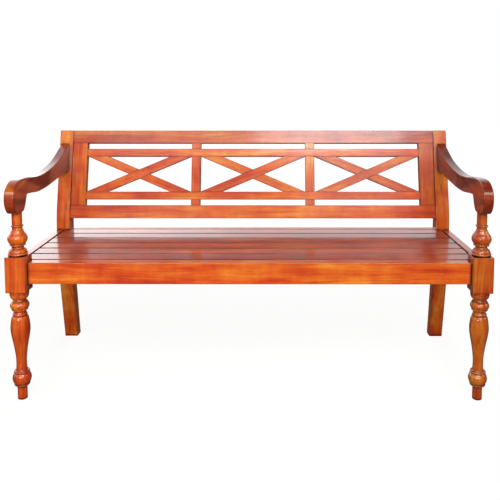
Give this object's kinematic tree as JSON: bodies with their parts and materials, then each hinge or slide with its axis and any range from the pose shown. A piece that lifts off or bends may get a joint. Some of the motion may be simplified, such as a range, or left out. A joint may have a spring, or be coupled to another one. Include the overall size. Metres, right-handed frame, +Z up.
{
  "type": "slatted bench with arms",
  "caption": "Long wooden bench with turned front legs, slatted seat, scrolled arms and a leaning back with crossed bars.",
  "frame": {"origin": "on the floor, under the middle of the bench's bounding box", "axes": "+X along the bench to the sitter's left, which is the right-hand side seen from the front; +Y from the front to the rear; +Z up"},
  "size_m": [1.51, 0.6079, 0.8155],
  "materials": {
    "mahogany": "semi-gloss lacquer over red-brown mahogany",
    "hidden_timber": "planed and unfinished",
    "screw_steel": "plain zinc plated"
  },
  "bodies": {
    "root": {"arm_left": "mahogany", "arm_right": "mahogany", "back_bottom_rail": "mahogany", "back_cross_1_falling": "mahogany", "back_cross_1_rising": "mahogany", "back_cross_2_falling": "mahogany", "back_cross_2_rising": "mahogany", "back_cross_3_falling": "mahogany", "back_cross_3_rising": "mahogany", "back_inner_rail_lower": "mahogany", "back_inner_rail_upper": "mahogany", "back_muntin_1": "mahogany", "back_muntin_2": "mahogany", "back_stile_left": "mahogany", "back_stile_right": "mahogany", "back_top_rail": "mahogany", "corner_block_front_left": "hidden_timber", "corner_block_front_right": "hidden_timber", "corner_block_rear_left": "hidden_timber", "corner_block_rear_right": "hidden_timber", "corner_block_screws": "screw_steel", "front_post_left": "mahogany", "front_post_right": "mahogany", "front_seat_rail": "mahogany", "ledger_screws": "screw_steel", "rear_post_left": "mahogany", "rear_post_right": "mahogany", "rear_seat_rail": "mahogany", "seat_bearer_1": "hidden_timber", "seat_bearer_2": "hidden_timber", "seat_bearer_3": "hidden_timber", "seat_ledger_left": "hidden_timber", "seat_ledger_right": "hidden_timber", "seat_slat_1": "mahogany", "seat_slat_2": "mahogany", "seat_slat_3": "mahogany", "seat_slat_4": "mahogany", "seat_slat_5": "mahogany", "seat_slat_6": "mahogany", "side_seat_rail_left": "mahogany", "side_seat_rail_right": "mahogany", "slat_screws": "screw_steel"}
  },
  "joints": []
}
